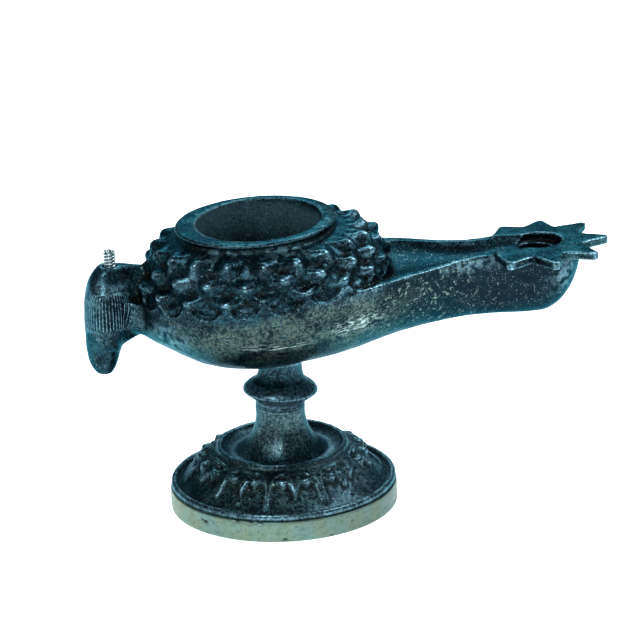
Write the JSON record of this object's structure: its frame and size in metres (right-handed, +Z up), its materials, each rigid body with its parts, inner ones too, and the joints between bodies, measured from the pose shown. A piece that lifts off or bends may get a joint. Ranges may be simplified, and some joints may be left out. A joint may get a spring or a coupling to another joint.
{
  "type": "pedestal oil lamp",
  "caption": "Cast bronze oil lamp: boat-shaped body with a knobbed shoulder, open filler hole, channelled spout with a star plate round the wick hole, bent rear terminal, on a leafed pedestal.",
  "frame": {"origin": "centre of the flat underside of the base disc, on the axis of the foot", "axes": "+Z up along the stem, +X from the foot's axis to the nozzle, +Y to the left of that"},
  "size_m": [0.1585, 0.0686, 0.0909],
  "materials": {
    "dark_patina": "cast bronze, blue-black and brown-green patina with rubbed bright specks",
    "worn_bronze": "cast bronze, blue-black patina rubbed lighter on the stem and raised edges",
    "pale_brass": "bare turned metal, pale grey-green, lightly pitted",
    "bright_steel": "bright plain steel thread"
  },
  "bodies": {
    "root": {"lamp_body": "dark_patina", "pedestal": "worn_bronze", "base_disc": "pale_brass", "threaded_stud": "bright_steel"}
  },
  "joints": []
}
